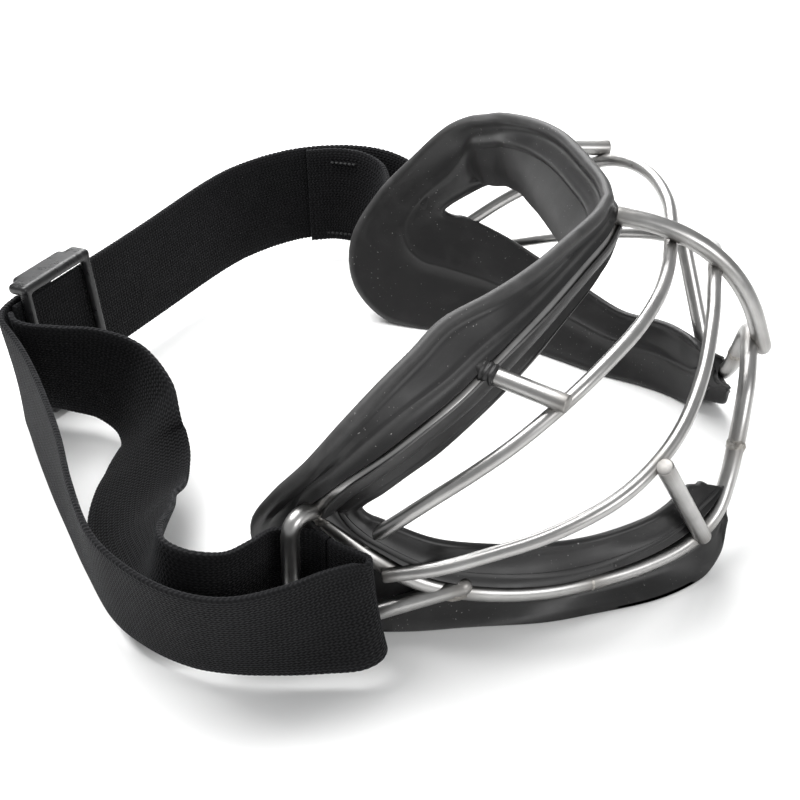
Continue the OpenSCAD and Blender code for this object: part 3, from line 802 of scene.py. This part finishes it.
def rounded_box(bm, low, high, radius, segments=4):
    made = bmesh.ops.create_cube(bm, size=1.0)
    size = [h - l for l, h in zip(low, high)]
    mid = [(h + l) / 2 for l, h in zip(low, high)]
    for v in made["verts"]:
        v.co = Vector([mid[i] + v.co[i] * size[i] for i in range(3)])
    edges = {e for v in made["verts"] for e in v.link_edges}
    bmesh.ops.bevel(bm, geom=list(edges), offset=radius, segments=segments, profile=0.5, affect="EDGES")


def rod_z(bm, x, y, low, high, radius):
    made = bmesh.ops.create_cone(bm, cap_ends=True, segments=28, radius1=radius, radius2=radius,
                                 depth=high - low)
    for v in made["verts"]:
        v.co += Vector((x, y, (low + high) / 2))


def moulded(name, bm, voxel, smooth_times):
    """One closed skin over the overlapping parts, with soft inside corners."""
    for v in bm.verts:
        v.co *= MM
    mesh = bpy.data.meshes.new(name)
    bm.to_mesh(mesh)
    bm.free()
    obj = bpy.data.objects.new(name, mesh)
    bpy.context.scene.collection.objects.link(obj)
    made = obj.modifiers.new("skin", "REMESH")
    made.mode = "VOXEL"
    made.voxel_size = voxel * MM
    soften = obj.modifiers.new("soften", "SMOOTH")
    soften.factor = 0.5
    soften.iterations = smooth_times
    dg = bpy.context.evaluated_depsgraph_get()
    final = bpy.data.meshes.new_from_object(obj.evaluated_get(dg))
    bpy.data.objects.remove(obj)
    return final


back, front = STRAP_T / 2 + 0.3 + BAR_T / 2, STRAP_T * 1.5 + 0.3 + BAR_T / 2 + 0.2
reach, rail = SLIDE_L / 2 - BAR_T / 2, SLIDE_H / 2 - BAR_T / 2
bm = bmesh.new()
for x in (-reach, reach):
    rod_z(bm, x, -back, -rail, rail, BAR_T / 2)
rod_z(bm, 0, front, -rail, rail, BAR_T / 2)
for z in (-rail, rail):
    rounded_box(bm, (-reach - 1.5, -back - 1.5, z - 1.5), (reach + 1.5, back + 0.2, z + 1.5), 1.2)
    rounded_box(bm, (-reach + 2.2, back - 2, z - 1.5), (reach - 2.2, front + 0.4, z + 1.5), 1.2)
mesh = moulded("adjuster_slide", bm, 0.42, 3)
mesh.transform(Matrix.Scale(MM, 4) @ ON_STRAP @ Matrix.Scale(1 / MM, 4))
finish_object("adjuster_slide_moulding", mesh, "adjuster", PLASTIC,
              ("adjuster_slide",), 180)

# Sewn end of the strap, folded round the middle bar
middle_r = (BAR_T + 0.2) / 2 + STRAP_T / 2
turn = [[middle_r * math.cos(a), front + middle_r * math.sin(a), 0]
        for a in np.radians(np.linspace(-118, 118, 40))]
tab = np.array([[-8.0, front - 0.82, 0], [-5.6, front - 0.84, 0], [-3.6, front - 1.0, 0]] + turn
               + [[-3.6, front + 1.0, 0], [-5.6, front + 0.84, 0], [-8.0, front + 0.82, 0]])
TAB_HALF = 13.3


def tab_rings():
    p = even(smooth(tab, 4), 0.3)
    t = tangents(p)
    up = np.array([0, 0, 1.0])
    across = unit(np.cross(up, t))
    s = lengths(p)
    points = webbing_outline()
    rings = np.zeros((len(p), len(points), 3))
    scallop = np.abs(np.sin(math.pi * s / 1.35)) - 0.6
    for k, (kind, h, d) in enumerate(points):
        if kind == "face":
            height, depth = np.full(len(p), h * TAB_HALF), np.full(len(p), d * STRAP_T / 2 * 0.96)
        else:
            a = math.radians(d)
            height = h * (TAB_HALF + 0.6 * math.cos(a)) + h * scallop * 0.24 * math.cos(a)
            depth = np.full(len(p), STRAP_T / 2 * 0.95 * math.sin(a))
        rings[:, k] = p + up * height[:, None] + across * depth[:, None]
    v = lengths_round(rings[5])
    mask = np.array([1.0 if kind == "edge" else 0.0 for kind, _, _ in points])
    return rings, s, v, mask


rings, s, v, mask = tab_rings()
mesh = grid_mesh("adjuster_tab", rings, s, v)
attribute(mesh, "wear_and_highlight", np.tile(mask, len(rings)))
mesh.transform(Matrix.Scale(MM, 4) @ ON_STRAP @ Matrix.Scale(1 / MM, 4))
finish_object("adjuster_tab_webbing", mesh, "adjuster", WEBBING, ("adjuster_tab",), 60)


# ---------------------------------------------------------------- studio
def area(name, place_at, target, size, power, tint=(1, 1, 1)):
    light = bpy.data.lights.new(name, "AREA")
    light.shape = "RECTANGLE"
    light.size, light.size_y = size
    light.energy = power
    light.color = tint
    obj = bpy.data.objects.new(name, light)
    obj.location = place_at
    obj.rotation_mode = "QUATERNION"
    obj.rotation_quaternion = (Vector(target) - Vector(place_at)).to_track_quat("-Z", "Y")
    bpy.context.scene.collection.objects.link(obj)


area("light_top", (0.25, 0.35, 0.9), (0, -0.02, 0), (0.9, 0.7), 17)
area("light_side", (-0.7, -0.8, 0.6), (0, -0.02, 0.03), (0.6, 0.35), 5)
area("light_back", (0.9, 0.2, 0.45), (0, -0.02, 0.03), (0.6, 0.3), 5)

bm = bmesh.new()
bmesh.ops.create_grid(bm, x_segments=2, y_segments=2, size=3.0)
mesh = bpy.data.meshes.new("studio_floor")
bm.to_mesh(mesh)
bm.free()
floor = bpy.data.objects.new("studio_floor", mesh)
floor.location = (0, 0, -0.0003)
bpy.context.scene.collection.objects.link(floor)
mesh.materials.append(floor_material())

world = bpy.data.worlds.new("studio")
bpy.context.scene.world = world
world.use_nodes = True
world.node_tree.nodes["Background"].inputs["Color"].default_value = (0.93, 0.94, 0.95, 1)
world.node_tree.nodes["Background"].inputs["Strength"].default_value = 0.5
bpy.context.scene.view_settings.view_transform = "Standard"

camera = bpy.data.cameras.new("camera")
camera.lens, camera.sensor_width = 74.08, 36
camera.clip_start, camera.clip_end = 0.01, 20
view = bpy.data.objects.new("camera", camera)
view.matrix_world = Matrix(((0.17176, 0.56194, -0.80915, -0.3653), (-0.98501, 0.11119, -0.13187, -0.0676),
                            (0.01587, 0.81967, 0.57261, 0.27335), (0, 0, 0, 1)))
bpy.context.scene.collection.objects.link(view)
bpy.context.scene.camera = view

bpy.context.view_layer.update()
